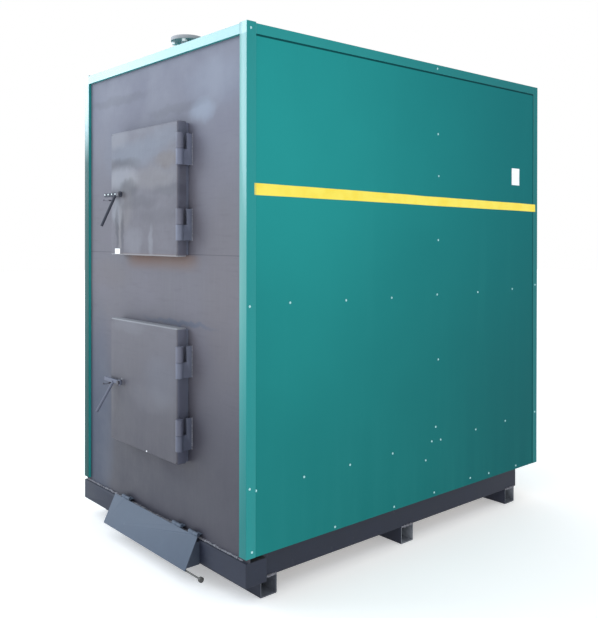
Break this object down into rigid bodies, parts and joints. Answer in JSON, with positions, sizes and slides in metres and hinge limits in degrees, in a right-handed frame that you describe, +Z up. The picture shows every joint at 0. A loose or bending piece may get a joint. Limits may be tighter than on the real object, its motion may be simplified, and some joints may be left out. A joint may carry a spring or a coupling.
{
  "type": "solid fuel boiler",
  "caption": "Box-shaped hot-water boiler for solid fuel in a green sheet casing on a steel skid, with a fuel door, an ash door and an air flap on its front.",
  "frame": {"origin": "middle of the underside of the middle cross foot, on the floor", "axes": "+Z up, -Y the front with the doors, +X the boiler's right as seen from the front"},
  "size_m": [1.485, 2.3725, 2.508],
  "materials": {
    "green_sheet": "satin",
    "green_trim": "satin",
    "front_paint": "satin",
    "skid_paint": "matte",
    "flap_paint": "satin",
    "boiler_steel": "matte",
    "cast_grate": "rough",
    "refractory": "matte",
    "mineral_wool": "matte",
    "pipe_paint": "satin",
    "bright_steel": "worn"
  },
  "bodies": {
    "boiler": {"foot_front": "skid_paint", "foot_middle": "skid_paint", "foot_rear": "skid_paint", "base_front_beam": "skid_paint", "base_rear_beam": "skid_paint", "base_side_beam_left": "skid_paint", "base_side_beam_right": "skid_paint", "water_wall_left": "boiler_steel", "water_wall_right": "boiler_steel", "water_wall_rear": "boiler_steel", "furnace_crown": "boiler_steel", "ash_pit_floor": "boiler_steel", "fire_grate": "cast_grate", "wool_mats": "mineral_wool", "front_plate_lower": "front_paint", "front_plate_upper": "front_paint", "upper_door_frame": "front_paint", "lower_door_frame": "front_paint", "upper_hinge_brackets": "front_paint", "lower_hinge_brackets": "front_paint", "upper_keeper": "front_paint", "lower_keeper": "front_paint", "side_panel_left": "green_sheet", "side_panel_right": "green_sheet", "rear_panel": "green_sheet", "top_panel": "green_sheet", "front_corner_trim_left": "green_trim", "front_corner_trim_right": "green_trim", "rear_corner_trims": "green_trim", "top_trim_front": "green_trim", "top_trim_rear": "green_trim", "top_trim_left": "green_trim", "top_trim_right": "green_trim", "supply_nozzle": "pipe_paint", "return_nozzle": "pipe_paint", "flue_spigot": "pipe_paint", "air_flap_hood": "flap_paint"},
    "upper_door": {"upper_door": "front_paint", "upper_door_lining": "refractory"},
    "lower_door": {"lower_door": "front_paint", "lower_door_lining": "refractory"},
    "upper_latch": {"upper_latch": "front_paint"},
    "lower_latch": {"lower_latch": "front_paint"},
    "air_flap": {"air_flap": "flap_paint", "air_flap_rod": "bright_steel"}
  },
  "joints": [
    {"name": "upper_door_hinge", "type": "hinge", "parent": "boiler", "child": "upper_door", "pos_m": [0.312, -1.0835, 1.74], "axis": [0, 0, 1], "range_deg": [0, 120]},
    {"name": "upper_latch_pivot", "type": "hinge", "parent": "upper_door", "child": "upper_latch", "pos_m": [-0.217, -1.098, 1.735], "axis": [0, 1, 0], "range_deg": [-6, 35]},
    {"name": "lower_door_hinge", "type": "hinge", "parent": "boiler", "child": "lower_door", "pos_m": [0.312, -1.0835, 0.806], "axis": [0, 0, 1], "range_deg": [0, 120]},
    {"name": "lower_latch_pivot", "type": "hinge", "parent": "lower_door", "child": "lower_latch", "pos_m": [-0.217, -1.098, 0.801], "axis": [0, 1, 0], "range_deg": [-6, 35]},
    {"name": "air_flap_hinge", "type": "hinge", "parent": "boiler", "child": "air_flap", "pos_m": [0.021, -1.042, 0.21], "axis": [-1, 0, 0], "range_deg": [0, 60]}
  ]
}
